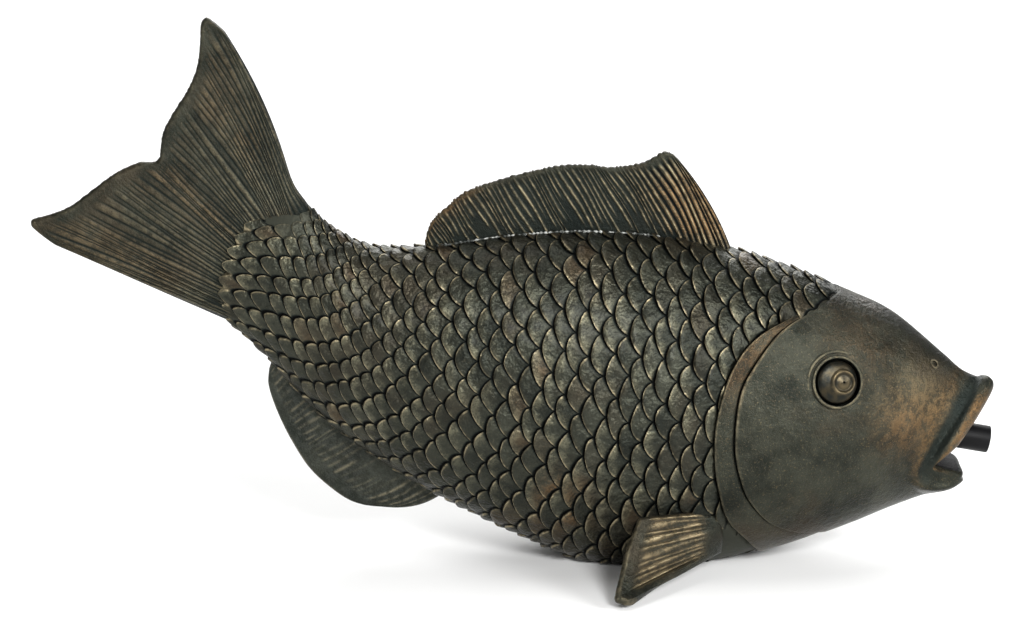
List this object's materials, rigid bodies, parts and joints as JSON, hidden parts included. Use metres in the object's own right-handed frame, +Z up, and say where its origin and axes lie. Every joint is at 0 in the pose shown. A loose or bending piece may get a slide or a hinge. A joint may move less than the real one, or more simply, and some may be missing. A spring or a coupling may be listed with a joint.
{
  "type": "fish water spitter",
  "caption": "Hollow cast-resin carp ornament that lies on its belly at a pond's edge, takes pump water in through its base and spits it from a spout tube in its open mouth.",
  "frame": {"origin": "on the ground under the middle of the whole fish, mouth to tail", "axes": "+X the way the fish faces, +Y its left side, +Z up"},
  "size_m": [0.3704, 0.1414, 0.2116],
  "materials": {
    "bronzed_resin": "satin",
    "eye_resin": "satin",
    "black_plastic": "satin",
    "grey_plastic": "satin",
    "rubber": "matte",
    "hose": "gloss",
    "steel": "satin"
  },
  "bodies": {
    "fish": {"left_half_casting": "bronzed_resin", "right_half_casting": "bronzed_resin", "dorsal_fin": "bronzed_resin", "tail_fin": "bronzed_resin", "anal_fin": "bronzed_resin", "left_pectoral_fin": "bronzed_resin", "right_pectoral_fin": "bronzed_resin", "left_eye": "eye_resin", "right_eye": "eye_resin", "base_plate": "black_plastic", "inlet_fitting": "grey_plastic", "inlet_nut": "grey_plastic", "inlet_seal": "rubber", "throat_grommet": "rubber", "feed_hose": "hose", "hose_clip": "steel", "clip_screw": "steel", "base_screw_1": "steel", "base_screw_2": "steel", "base_screw_3": "steel", "base_screw_4": "steel"},
    "spout": {"spout_tube": "black_plastic"}
  },
  "joints": [
    {"name": "spout_slide", "type": "slide", "parent": "fish", "child": "spout", "axis": [0.9854, 0, -0.1702], "range_m": [-0.008, 0.01]}
  ]
}
